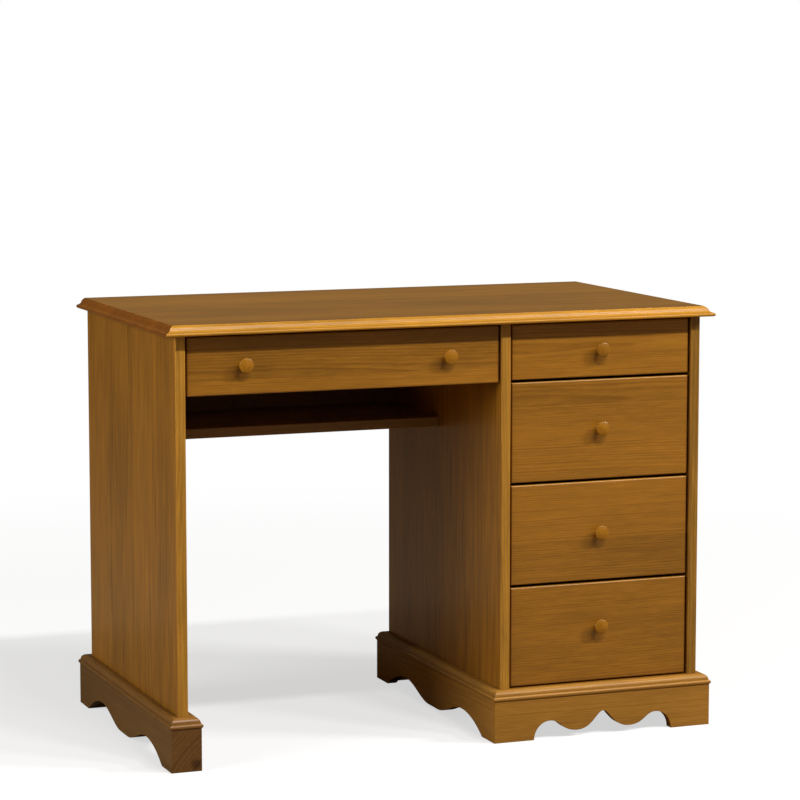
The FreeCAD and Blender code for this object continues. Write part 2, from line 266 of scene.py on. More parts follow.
def new_material(name: str) -> tuple[bpy.types.Material, Wiring]:
    """Makes a material with nodes.

    Args:
        name: the material's name.

    Returns:
        The material, and the wiring of its tree.
    """
    made = bpy.data.materials.new(name)
    made.use_nodes = True
    return made, Wiring(made.node_tree)


@dataclass(frozen=True)
class Grain:
    """Marks drawn out along the grain, and their weight in the wood's tone, gloss and relief.

    Rate is marks per metre across the grain, and draw how many times longer they are along it.
    """

    rate: float
    draw: float
    layers: float
    shade: float
    gloss: float = 0.0
    relief: float = 0.0


@dataclass(frozen=True)
class Stave:
    """Sockets of the stave that a point lies in: its number, the place across it and its dice."""

    number: Socket
    across: Socket
    dice: Mapping[str, Socket]


@dataclass(frozen=True)
class SolidWood:
    """Softwood as it grows, in a node group that every wooden finish shares.

    A board is glued up from staves, each from its own place in a trunk, so rings show as bands on
    the face and as arcs on the ends. Lengths are in metres, rates in marks per metre. The spans of
    the late wood are shares of a year's ring; those of an end and an edge are parts of the normal.
    Salts keep throws of the dice and of the noise apart.
    """

    name: str = "solid_wood"
    stave_stagger: float = 0.37
    stave_salt: float = 3.7
    stave_shade: float = 0.28
    glue_line: float = 0.00035
    glue_shade: float = -0.22
    heart_scatter: float = 0.09
    wander: float = 0.016
    wander_rate: float = 1.6
    wander_layers: float = 1.0
    swing_salt: float = 0.5
    taper: float = 0.014
    ripple: float = 0.0024
    ripple_rates: Triple = (6.0, 24.0, 24.0)
    swell: float = 2.2
    swell_rate: float = 70.0
    late_rise: Pair = (0.25, 0.9)
    late_fall: Pair = (1.0, 0.92)
    late_gloss: float = -0.05
    late_relief: float = 0.35
    weakest_year: float = 0.35
    end_span: Pair = (0.12, 0.5)
    end_figure: float = 0.6
    edge_span: Pair = (0.15, 0.55)
    sway: float = 0.012
    sway_rates: Pair = (4.0, 9.0)
    fibre: Grain = Grain(520.0, 14.0, 3.0, shade=0.48, gloss=0.22, relief=0.7)
    streak: Grain = Grain(150.0, 11.0, 3.0, shade=0.50)
    cloud: Grain = Grain(7.0, 3.0, 2.0, shade=0.55, gloss=0.10)
    band_draw: float = 15.0
    band_layers: float = 1.0
    mark_roughness: float = 0.6

    INPUTS: ClassVar[dict[str, str]] = {
        "Place": "NodeSocketVector",
        "Normal": "NodeSocketVector",
        "Heart": "NodeSocketVector",
        "Seed": "NodeSocketFloat",
        "Stave": "NodeSocketFloat",
        "Ring": "NodeSocketFloat",
        "Figure": "NodeSocketFloat",
        "Tone": "NodeSocketFloat",
        "Bands": "NodeSocketFloat",
        "Band rate": "NodeSocketFloat",
        "Early": "NodeSocketColor",
        "Late": "NodeSocketColor",
        "End": "NodeSocketColor",
        "Edge highlight": "NodeSocketColor",
    }
    OUTPUTS: ClassVar[dict[str, str]] = {
        "Colour": "NodeSocketColor",
        "Gloss": "NodeSocketFloat",
        "Relief": "NodeSocketFloat",
        "Soak": "NodeSocketFloat",
    }

    def tree(self) -> bpy.types.NodeTree:
        """Finds the group, or makes it the first time.

        Returns:
            The node group.
        """
        found = bpy.data.node_groups.get(self.name)
        if found:
            return found
        tree = bpy.data.node_groups.new(self.name, "ShaderNodeTree")
        for direction, sockets in (("INPUT", self.INPUTS), ("OUTPUT", self.OUTPUTS)):
            for name, kind in sockets.items():
                tree.interface.new_socket(name=name, in_out=direction, socket_type=kind)
        self._wire(Wiring(tree))
        return tree

    def _wire(self, w: Wiring) -> None:
        """Lays the nodes from the board's own coordinates to colour, gloss, relief and thirst.

        Args:
            w: wiring of the group's tree.
        """
        given = w.add("NodeGroupInput").outputs
        stave = self._stave(w, given)
        late = self._late_wood(w, given, stave)
        fibre, streak, cloud, band = self._marks(w, given)
        facing = [w.math("ABSOLUTE", part) for part in w.parts(given["Normal"])]
        facing_end = w.threshold(facing[0], self.end_span)
        facing_edge = w.threshold(facing[1], self.edge_span)

        half = w.times(given["Stave"], 0.5)
        from_joint = w.math("SUBTRACT", half, w.math("ABSOLUTE", stave.across))
        tone = w.total(
            given["Tone"],
            w.times(fibre, self.fibre.shade),
            w.times(streak, self.streak.shade),
            w.times(cloud, self.cloud.shade),
            w.times(band, given["Bands"]),
            w.times(w.centred(stave.dice["Value"]), self.stave_shade),
            w.times(w.threshold(from_joint, (self.glue_line, 0.0)), self.glue_shade),
        )
        figure = w.times(given["Figure"], w.math("MULTIPLY_ADD", facing_end, self.end_figure, 1.0))
        colour = w.blend(w.times(late, figure), given["Early"], given["Late"])
        colour = w.toned(colour, tone)
        # End grain is darker; the edges get a painted highlight, lighter and whiter.
        for share, name in ((facing_end, "End"), (facing_edge, "Edge highlight")):
            colour = w.blend(share, colour, w.blend(1.0, colour, given[name], Blend.STAIN))

        gloss = w.total(
            w.times(fibre, self.fibre.gloss),
            w.times(cloud, self.cloud.gloss),
            w.times(late, self.late_gloss),
        )
        relief = w.total(w.times(fibre, self.fibre.relief), w.times(late, self.late_relief))
        soak = w.math("MAXIMUM", facing_end, facing_edge)
        result = {"Colour": colour, "Gloss": gloss, "Relief": relief, "Soak": soak}
        w.fed(w.add("NodeGroupOutput"), result)

    def _stave(self, w: Wiring, given: Mapping[str, Socket]) -> Stave:
        """Finds the stave that a point lies in.

        Args:
            w: wiring of the group's tree.
            given: the group's inputs.

        Returns:
            The stave's sockets.
        """
        across = w.parts(given["Place"])[1]
        stagger = w.times(given["Seed"], self.stave_stagger)
        place = w.math("ADD", w.math("DIVIDE", across, given["Stave"]), stagger)
        number = w.math("FLOOR", place)
        in_stave = w.times(w.centred(w.math("FRACT", place)), given["Stave"])
        return Stave(number, in_stave, w.dice(w.vector(number, given["Seed"], self.stave_salt)))

    def _from_heart(self, w: Wiring, given: Mapping[str, Socket], stave: Stave) -> Socket:
        """Measures how far a point was from the heart of its tree.

        Args:
            w: wiring of the group's tree.
            given: the group's inputs.
            stave: the stave that the point lies in.

        Returns:
            The socket of the distance.
        """
        place = w.parts(given["Place"])
        along, _, depth = place
        heart_across, heart_depth, _ = w.parts(given["Heart"])
        throw_across, throw_depth, throw_taper = w.parts(stave.dice["Color"])
        up_trunk = w.times(along, self.wander_rate)
        drift = w.vector(up_trunk, stave.number, given["Seed"])
        swing = w.vector(up_trunk, given["Seed"], w.math("ADD", stave.number, self.swing_salt))
        out_across = w.total(
            stave.across,
            heart_across,
            w.times(w.centred(throw_across), self.heart_scatter),
            w.times(w.noise(drift, self.wander_layers), self.wander),
        )
        out_depth = w.total(
            depth,
            heart_depth,
            w.times(throw_depth, self.heart_scatter / 2),
            w.times(w.noise(swing, self.wander_layers), self.wander),
            w.times(w.times(along, w.centred(throw_taper)), self.taper),
        )
        squares = (w.math("POWER", out, 2.0) for out in (out_across, out_depth))
        ripple = w.times(w.noise(w.scaled(place, self.ripple_rates)), self.ripple)
        return w.math("ADD", w.math("SQRT", w.total(*squares)), ripple)

    def _late_wood(self, w: Wiring, given: Mapping[str, Socket], stave: Stave) -> Socket:
        """Draws the dark late wood of the rings, stronger in some years than in others.

        Args:
            w: wiring of the group's tree.
            given: the group's inputs.
            stave: the stave that the point lies in.

        Returns:
            The socket of the late wood's share, from 0 to 1.
        """
        radius = self._from_heart(w, given, stave)
        swell = w.noise(w.vector(w.times(radius, self.swell_rate), stave.number, given["Seed"]))
        phase = w.math("ADD", w.math("DIVIDE", radius, given["Ring"]), w.times(swell, self.swell))
        year = w.math("FRACT", phase)
        late = w.times(w.threshold(year, self.late_rise), w.threshold(year, self.late_fall))
        throw = w.dice(w.vector(w.math("FLOOR", phase), stave.number, given["Seed"]))["Value"]
        vigour = w.math("MULTIPLY_ADD", throw, 1 - self.weakest_year, self.weakest_year)
        return w.times(late, vigour)

    def _marks(self, w: Wiring, given: Mapping[str, Socket]) -> list[Socket]:
        """Draws fibres, streaks, clouds and bands along a grain that sways a little.

        Args:
            w: wiring of the group's tree.
            given: the group's inputs.

        Returns:
            The sockets of the four, each a value about zero.
        """
        along, across, depth = w.parts(given["Place"])
        seed = given["Seed"]
        rate_along, rate_across = self.sway_rates
        bend = w.vector(w.times(along, rate_along), w.times(across, rate_across), seed)
        swayed = w.math("MULTIPLY_ADD", w.noise(bend), self.sway, across)
        fixed = (self.fibre, self.streak, self.cloud)
        kinds = [(mark.rate, mark.draw, mark.layers) for mark in fixed]
        kinds.append((given["Band rate"], self.band_draw, self.band_layers))
        marks = []
        for rate, draw, layers in kinds:
            drawn = w.vector(
                w.times(along, w.math("DIVIDE", rate, draw)),
                w.math("MULTIPLY_ADD", swayed, rate, seed),
                w.times(depth, rate),
            )
            marks.append(w.noise(drawn, layers, self.mark_roughness))
        return marks


@dataclass(frozen=True)
class WoodFinish:
    """A wood and what is on it: colours are linear, lengths in metres.

    The end colour multiplies the face's own on end grain, and the edge highlight colour multiplies
    it on the edges as a painted highlight; thirst is how much of the coat they drink.
    The spans say how far a normal turns for an edge to be painted paler, as wear and as a painted
    highlight, and how open the air is round a corner that is darkened as painted shade.
    """

    name: str
    early: Colour
    late: Colour
    end: Colour = (0.62, 0.52, 0.46)
    # Painted highlight: multiplies the colour of the edges lighter and whiter.
    edge_highlight: Colour = (1.0, 1.0, 1.0)
    ring: float = 0.0034
    figure: float = 0.6
    roughness: float = 0.42
    specular: float = 0.22
    coat: float = 0.0
    coat_roughness: float = 0.2
    thirst: float = 0.3
    relief: float = 0.00005
    arris: float = 0.0009
    # Paler edges: partly wear, partly a painted highlight.
    arris_wear_and_highlight: float = 0.35
    rubbed_and_highlight: float = 0.0
    wear_and_highlight_colour: Colour = (1.0, 0.78, 0.45)
    wear_and_highlight_span: Pair = (0.985, 0.80)
    knot_radius: float = 0.013
    knot_core: float = 1 / 3
    knot_stain: Colour = (0.50, 0.42, 0.38)
    # Painted shade in the inner corners, found by ambient occlusion.
    corner_shade_colour: Colour = (0.35, 0.26, 0.18)
    corner_span: Pair = (0.75, 0.2)
    corner_shade: float = 0.45
    corner_reach: float = 0.005
    samples: int = 4

    WOOD: ClassVar[SolidWood] = SolidWood()

    def material(self, board: "Board") -> bpy.types.Material:
        """Makes the finish for one board, cut from its own part of a tree.

        Args:
            board: the board that takes it.

        Returns:
            The material.
        """
        made, w = new_material(f"{self.name}_{board.node}")
        place = w.add("ShaderNodeTexCoord").outputs
        from_middle = w.vector_math("SUBTRACT", place["Object"], tuple(board.middle()))["Vector"]
        facing = w.parts(place["Normal"])
        wood = self._sawn(w, board, from_middle, facing)
        bevel = w.add("ShaderNodeBevel", samples=self.samples)
        rounded = w.fed(bevel, {"Radius": self.arris}).outputs[0]
        bump = w.fed(
            w.add("ShaderNodeBump"),
            {"Strength": 1.0, "Distance": self.relief, "Height": wood["Relief"], "Normal": rounded},
        )
        colour = wood["Colour"]
        if board.knot:
            away = w.vector_math("DISTANCE", from_middle, board.knot)["Value"]
            dark = w.threshold(away, (self.knot_radius, self.knot_radius * self.knot_core))
            colour = w.blend(dark, colour, opaque(self.knot_stain), Blend.STAIN)
        drunk = -self.coat * self.thirst
        surface = {
            "Base Color": self._wear_highlight_and_corner_shade(w, colour, rounded, facing),
            "Roughness": w.math("ADD", wood["Gloss"], self.roughness),
            "Normal": bump.outputs[0],
            "Specular IOR Level": self.specular,
            "Coat Weight": w.math("MULTIPLY_ADD", wood["Soak"], drunk, self.coat),
            "Coat Roughness": self.coat_roughness,
            "Coat Normal": rounded,
        }
        w.fed(made.node_tree.nodes["Principled BSDF"], surface)
        return made

    def _sawn(
        self, w: Wiring, board: "Board", place: Feed, facing: Sequence[Socket]
    ) -> Mapping[str, Socket]:
        """Cuts the board from the shared wood.

        Args:
            w: wiring of the material.
            board: the board, which says how the wood lies in it.
            place: the point, from the board's middle.
            facing: the three parts of the board's own normal.

        Returns:
            The outputs of the wood's group.
        """
        local = w.parts(place)
        axes = board.lay.value
        cut = {
            "Place": w.vector(*(local[axis] for axis in axes)),
            "Normal": w.vector(*(facing[axis] for axis in axes)),
            "Heart": (*board.heart, 0.0),
            "Seed": board.seed(),
            "Stave": board.stave,
            "Ring": self.ring,
            "Figure": self.figure,
            "Tone": board.tone,
            "Bands": board.bands,
            "Band rate": board.band_rate,
            "Early": opaque(self.early),
            "Late": opaque(self.late),
            "End": opaque(self.end),
            "Edge highlight": opaque(self.edge_highlight),
        }
        return w.fed(w.add("ShaderNodeGroup", node_tree=self.WOOD.tree()), cut).outputs

    def _wear_highlight_and_corner_shade(
        self, w: Wiring, colour: Feed, rounded: Feed, facing: Sequence[Socket]
    ) -> Socket:
        """Paints sharp and rounded edges paler, as wear and as a painted highlight, and paints
        shade into the inner corners.

        Args:
            w: wiring of the material.
            colour: the clean wood.
            rounded: normal of the rounded edges.
            facing: the three parts of the board's own normal.

        Returns:
            The socket of the colour with paler edges and painted corner shade.
        """
        flat = w.add("ShaderNodeNewGeometry").outputs["Normal"]
        turn = w.vector_math("DOT_PRODUCT", flat, rounded)["Value"]
        # Edges painted paler, partly as wear and partly as a painted highlight.
        wear_and_highlight = w.times(w.threshold(turn, self.wear_and_highlight_span), self.arris_wear_and_highlight)
        if self.rubbed_and_highlight:
            x, y, z = (w.math("ABSOLUTE", part) for part in facing)
            squarest = w.math("MAXIMUM", w.math("MAXIMUM", x, y), z)
            rubbed_and_highlight = w.times(w.threshold(squarest, self.wear_and_highlight_span), self.rubbed_and_highlight)
            wear_and_highlight = w.math("MAXIMUM", wear_and_highlight, rubbed_and_highlight)
        colour = w.blend(wear_and_highlight, colour, opaque(self.wear_and_highlight_colour), Blend.GLAZE)
        # Painted shade: corners that are closed in are darkened.
        nearby = w.add("ShaderNodeAmbientOcclusion", samples=self.samples, only_local=False)
        open_air = w.fed(nearby, {"Distance": self.corner_reach}).outputs["AO"]
        painted_corner_shade = w.times(w.threshold(open_air, self.corner_span), self.corner_shade)
        return w.blend(painted_corner_shade, colour, opaque(self.corner_shade_colour), Blend.STAIN)


@dataclass(frozen=True)
class MetalFinish:
    """Plated steel with fine scratches and a cloudy tone. Rates are in marks per metre."""

    name: str
    colour: Colour
    roughness: float = 0.32
    scratch_rates: Triple = (900.0, 4000.0, 900.0)
    scratch_layers: float = 3.0
    scratch_gloss: float = 0.3
    scratch_depth: float = 0.00003
    cloud_rate: float = 300.0
    cloud_shade: float = 0.25

    def material(self) -> bpy.types.Material:
        """Finds the finish, or makes it the first time.

        Returns:
            The material.
        """
        found = bpy.data.materials.get(self.name)
        if found:
            return found
        made, w = new_material(self.name)
        place = w.parts(w.add("ShaderNodeTexCoord").outputs["Object"])
        scratch = w.noise(w.scaled(place, self.scratch_rates), self.scratch_layers)
        cloud = w.noise(w.scaled(place, (self.cloud_rate,) * 3))
        tone = w.math("MULTIPLY_ADD", cloud, self.cloud_shade, 1.0)
        bump = w.fed(w.add("ShaderNodeBump"), {"Distance": self.scratch_depth, "Height": scratch})
        surface = {
            "Base Color": w.toned(opaque(self.colour), tone),
            "Roughness": w.math("MULTIPLY_ADD", scratch, self.scratch_gloss, self.roughness),
            "Metallic": 1.0,
            "Normal": bump.outputs[0],
        }
        w.fed(made.node_tree.nodes["Principled BSDF"], surface)
        return made


HONEY_PINE = WoodFinish(
    "honey_pine",
    (0.276, 0.111, 0.0074),
    (0.152, 0.052, 0.0030),
    edge_highlight=(1.10, 1.27, 2.1),
    coat=0.4,
    rubbed_and_highlight=0.5,
)
SHELF_PINE = WoodFinish(
    "shelf_pine",
    (0.235, 0.118, 0.040),
    (0.132, 0.060, 0.018),
    edge_highlight=(1.15, 1.15, 1.0),
    coat=0.25,
    coat_roughness=0.3,
    rubbed_and_highlight=0.5,
)
MOULDED_PINE = WoodFinish(
    "moulded_pine",
    (0.262, 0.118, 0.0170),
    (0.148, 0.056, 0.0070),
    edge_highlight=(1.25, 1.30, 1.5),
    specular=0.12,
    coat=0.21,
    coat_roughness=0.22,
    corner_shade=0.7,
    corner_reach=0.0035,
)
FOOT_PINE = WoodFinish(
    "foot_pine",
    (0.160, 0.073, 0.0165),
    (0.082, 0.032, 0.0062),
    end=(0.83, 0.77, 0.72),
    ring=0.0065,
    figure=0.58,
    coat=0.3,
)
FOOT_MOULDED_PINE = WoodFinish(
    "foot_moulded_pine",
    (0.185, 0.080, 0.0135),
    (0.100, 0.038, 0.0058),
    edge_highlight=(1.25, 1.25, 1.3),
    coat=0.35,
    coat_roughness=0.26,
    corner_shade=0.7,
    corner_reach=0.0035,
)
POLISHED_PINE = WoodFinish(
    "polished_pine",
    (0.350, 0.145, 0.0110),
    (0.200, 0.069, 0.0042),
    end=(0.66, 0.50, 0.40),
    edge_highlight=(1.58, 1.74, 2.1),
    figure=0.85,
    roughness=0.4,
    specular=0.1,
    coat=0.8,
    coat_roughness=0.21,
    thirst=0.75,
    arris=0.002,
    arris_wear_and_highlight=0.7,
)
TURNED_PINE = WoodFinish(
    "turned_pine",
    (0.298, 0.119, 0.0030),
    (0.212, 0.075, 0.0016),
    end=(1.0, 1.0, 1.0),
    ring=0.003,
    roughness=0.5,
    specular=0.16,
    coat=0.3,
    coat_roughness=0.12,
    thirst=0.0,
)
RAW_PINE = WoodFinish(
    "raw_pine",
    (0.60, 0.40, 0.19),
    (0.44, 0.25, 0.095),
    end=(0.8, 0.74, 0.66),
    roughness=0.62,
    arris_wear_and_highlight=0.1,
)
BIRCH_PLY = WoodFinish(
    "birch_ply", (0.56, 0.39, 0.21), (0.45, 0.29, 0.14), ring=0.016, figure=0.5, roughness=0.58
)
BEECH = WoodFinish(
    "beech", (0.50, 0.31, 0.17), (0.40, 0.23, 0.12), ring=0.002, figure=0.4, roughness=0.55
)
ZINC = MetalFinish("zinc_plate", (0.62, 0.60, 0.55))


@dataclass(frozen=True)
class Board:
    """One CAD node of wood: how it lies, its finish and where it was cut from. Lengths in metres.

    Stave is the width of its staves, heart the place of the tree's heart across and into the
    board, and tone its lightness, which on the drawer fronts and the upright panels is painted
    light and shade. Bands is the strength of its broad streaks, and band_rate their number to the
    metre.
    A knot, if there is one, is placed from the middle of the node's box.
    """

    node: str
    lay: Lay
    finish: WoodFinish = HONEY_PINE
    stave: float = 0.6
    heart: Pair = (0.09, 0.04)
    tone: float = 1.0
    bands: float = 0.0
    band_rate: float = 90.0
    knot: Optional[Triple] = None

    SEED_COUNT: ClassVar[int] = 997
    SEEDS_PER_UNIT: ClassVar[int] = 31

    def middle(self) -> Vector:
        """Middle of the node's box."""
        low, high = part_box(self.node)
        return (low + high) / 2

    def seed(self) -> float:
        """A number of its own that stays the same from run to run."""
        return zlib.crc32(self.node.encode()) % self.SEED_COUNT / self.SEEDS_PER_UNIT

    def dress(self) -> None:
        """Gives the node's object its own cut of the finish."""
        paint(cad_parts[self.node], self.finish.material(self))
        log.info("%s: %s", self.node, self.finish.name)


def paint(piece: bpy.types.Object, material: bpy.types.Material) -> None:
    """Puts one material on a whole object.

    Args:
        piece: the object.
        material: what it gets.
    """
    if not piece.material_slots:
        piece.data.materials.append(material)
    for place in piece.material_slots:
        place.material = material


def new_piece(
    name: str, mesh: bmesh.types.BMesh, body: str, material: bpy.types.Material
) -> bpy.types.Object:
    """Turns a finished mesh into a piece that rides on a body.

    Args:
        name: the piece's name.
        mesh: its shape, in the desk's frame; it is freed.
        body: CAD body that carries it.
        material: its finish.

    Returns:
        The new object.
    """
    data = bpy.data.meshes.new(name)
    mesh.to_mesh(data)
    mesh.free()
    piece = bpy.data.objects.new(name, data)
    bpy.context.scene.collection.objects.link(piece)
    paint(piece, material)
    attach(piece, body)
    log.info("%s: rides on %s", name, body)
    return piece


def lathe(
    mesh: bmesh.types.BMesh, profile: Iterable[Pair], place: Matrix, steps: int
) -> list[list[bmesh.types.BMVert]]:
    """Turns a profile about the local Z axis and adds it to a mesh.

    Args:
        mesh: the mesh that grows.
        profile: (radius, height) points along the surface.
        place: carries the local axis to its seat.
        steps: number of facets round the axis.

    Returns:
        The vertices round each point, in order.
    """
    rows = []
    for radius, height in profile:
        row = []
        for n in range(steps if radius > 0 else 1):
            angle = 2 * math.pi * n / steps
            point = Vector((radius * math.cos(angle), radius * math.sin(angle), height))
            row.append(mesh.verts.new(place @ point))
        rows.append(row)
    for low, high in zip(rows, rows[1:]):
        for n in range(steps):
            lower = [low[step % len(low)] for step in (n, n + 1)]
            upper = [high[step % len(high)] for step in (n + 1, n)]
            face = mesh.faces.new(list(dict.fromkeys(lower + upper)))
            face.smooth = True
    return rows


@dataclass(frozen=True)
class Pin:
    """The slightly domed head of a small nail. Lengths are in metres."""

    radius: float = 0.0016
    rise: float = 0.0004
    steps: int = 14

    def add(self, mesh: bmesh.types.BMesh, seat: Matrix) -> None:
        """Adds the head to a mesh, on the XY plane of its seat."""
        rim = [(self.radius, -self.rise), (self.radius, self.rise / 2)]
        lathe(mesh, [(0, -self.rise), *rim, (0, self.rise)], seat, self.steps)


@dataclass(frozen=True)
class PanScrew:
    """A pan-head screw with a coarse thread and a cross recess.

    Lengths are in metres. The recess is given in shares of the head's radius and height, its floor
    in a share of its mouth.
    """

    length: float
    head_radius: float = 0.004
    head_height: float = 0.0022
    shank_radius: float = 0.002
    root_share: float = 0.72
    pitch: float = 0.0018
    cross_reach: float = 0.46
    cross_half: float = 0.10
    floor_share: float = 0.55
    floor_level: float = 0.35
    steps: int = 24

    HEAD: ClassVar[tuple[Pair, ...]] = ((1.0, 0.0), (1.0, 0.4), (0.92, 0.74), (0.66, 1.0))

    def add(self, mesh: bmesh.types.BMesh, seat: Matrix) -> None:
        """Adds the screw to a mesh, its head on the XY plane of its seat and its shank below."""
        root = self.shank_radius * self.root_share
        start = 2 * self.shank_radius - self.length
        profile = [(0, -self.length)]
        for turn in range(int(-start / self.pitch)):
            low = start + turn * self.pitch
            profile += [(root, low), (self.shank_radius, low + self.pitch / 2)]
        profile.append((root, 0))
        profile += [(out * self.head_radius, up * self.head_height) for out, up in self.HEAD]
        self._recess(mesh, lathe(mesh, profile, seat, self.steps)[-1], seat)

    def _recess(
        self, mesh: bmesh.types.BMesh, rim: list[bmesh.types.BMVert], seat: Matrix
    ) -> None:
        """Closes the top of the head round a sunk cross.

        Args:
            mesh: the mesh that grows.
            rim: vertices round the top.
            seat: the screw's seat.
        """
        arm = self.head_radius * self.cross_reach
        half = self.head_radius * self.cross_half
        quarter = [(half, half), (half, arm), (-half, arm)]
        corners = []
        for _ in range(4):
            corners += quarter
            quarter = [(-y, x) for x, y in quarter]
        mouth, floor = (
            [mesh.verts.new(seat @ Vector((share * x, share * y, height))) for x, y in corners]
            for share, height in (
                (1.0, self.head_height),
                (self.floor_share, self.floor_level * self.head_height),
            )
        )
        border = []
        for loop in (rim, mouth):
            for pair in zip(loop, loop[1:] + loop[:1]):
                border.append(mesh.edges.get(pair) or mesh.edges.new(pair))
        bmesh.ops.triangle_fill(mesh, use_beauty=True, edges=border)
        for n, vert in enumerate(mouth):
            after = (n + 1) % len(mouth)
            mesh.faces.new((vert, mouth[after], floor[after], floor[n]))
        mesh.faces.new(floor)
        bmesh.ops.recalc_face_normals(mesh, faces=mesh.faces[:])


@dataclass
class Desktop:
    """The moulded top."""

    stave: float = 0.095
    bands: float = 0.35
    band_rate: float = 30.0

    def boards(self) -> list[Board]:
        """The top's only board."""
        bands = {"bands": self.bands, "band_rate": self.band_rate}
        return [Board("desktop", Lay.FLAT_LONG, POLISHED_PINE, self.stave, **bands)]


@dataclass
class Uprights:
    """The left end panel and the two sides of the pedestal, glued up from upright staves."""

    stave: float = 0.078
    # Painted light and shade of each panel: the pedestal's side in the kneehole lighter, its right
    # side darker.
    outer_light_and_shade: float = 1.0
    inner_light_and_shade: float = 1.15
    right_light_and_shade: float = 0.7
    bands: float = 0.85

    def boards(self) -> list[Board]:
        """The three panels, their bands as strong as their tone."""
        tones = {
            "left_end_panel": self.outer_light_and_shade,
            "pedestal_left_panel": self.inner_light_and_shade,
            "pedestal_right_panel": self.right_light_and_shade,
        }
        return [
            Board(name, Lay.STANDING, stave=self.stave, tone=tone, bands=self.bands * tone)
            for name, tone in tones.items()
        ]


@dataclass
class Base:
    """The solid left foot, and the scalloped plinth of the pedestal, each with its mouldings."""

    foot_heart: Pair = (0.05, -0.17)
    foot_knot: Triple = (0.017, -0.293, -0.025)
    board_tone: float = 1.24

    SIDES: ClassVar[dict[str, Lay]] = {
        "front": Lay.UPRIGHT_LONG,
        "back": Lay.UPRIGHT_LONG,
        "left": Lay.UPRIGHT_DEEP,
        "right": Lay.UPRIGHT_DEEP,
    }

    def boards(self) -> list[Board]:
        """The foot, the plinth's boards and mouldings, and the blocks inside."""
        foot = {"heart": self.foot_heart, "knot": self.foot_knot}
        boards = [
            Board("left_foot_rail", Lay.UPRIGHT_DEEP, FOOT_PINE, **foot),
            Board("left_foot_end_mouldings", Lay.UPRIGHT_LONG, FOOT_MOULDED_PINE),
            Board("left_foot_moulding_outer", Lay.UPRIGHT_DEEP, FOOT_MOULDED_PINE),
            Board("left_foot_moulding_inner", Lay.UPRIGHT_DEEP, FOOT_MOULDED_PINE),
            Board("plinth_corner_blocks", Lay.STANDING, RAW_PINE),
        ]
        for side, lay in self.SIDES.items():
            boards += [
                Board(f"plinth_{side}_board", lay, MOULDED_PINE, tone=self.board_tone),
                Board(f"plinth_moulding_{side}", lay, MOULDED_PINE),
            ]
        return boards


@dataclass
class Inside:
    """Shelf, backs, floor, runners and joints of the carcass. Lengths are in metres."""

    stave: float = 0.095
    pin: Pin = Pin()
    pin_pitch: float = 0.085
    pin_inset: float = 0.004

    def boards(self) -> list[Board]:
        """Everything of wood inside the carcass."""
        return [
            Board("kneehole_shelf", Lay.FLAT_LONG, SHELF_PINE, self.stave),
            Board("kneehole_back_panel", Lay.UPRIGHT_LONG, SHELF_PINE, self.stave),
            Board("pedestal_bottom_board", Lay.FLAT_LONG, stave=self.stave),
            Board("pedestal_back_panel", Lay.STANDING_BACK, BIRCH_PLY),
            Board("centre_drawer_runners", Lay.UPRIGHT_DEEP, RAW_PINE),
            Board("pedestal_runners", Lay.UPRIGHT_DEEP, RAW_PINE),
            Board("dowels", Lay.TURNED, BEECH),
        ]

    def dress_screws(self) -> None:
        """Plates the screws of the runners."""
        paint(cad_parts["runner_screws"], ZINC.material())

    def pin_back(self) -> bpy.types.Object:
        """Nails the thin back into its rebates with a row of small pins at each side.

        Returns:
            The pins, as one piece.
        """
        low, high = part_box("pedestal_back_panel")
        mesh = bmesh.new()
        count = round((high.z - low.z) / self.pin_pitch)
        first = low.z + self.pin_inset
        last = high.z - self.pin_inset
        for n in range(count + 1):
            height = first + (last - first) * n / count
            for x in (low.x + self.pin_inset, high.x - self.pin_inset):
                self.pin.add(mesh, Matrix.Translation((x, high.y, height)) @ FACING_BACK)
        return new_piece("pedestal_back_pins", mesh, "carcass", ZINC.material())


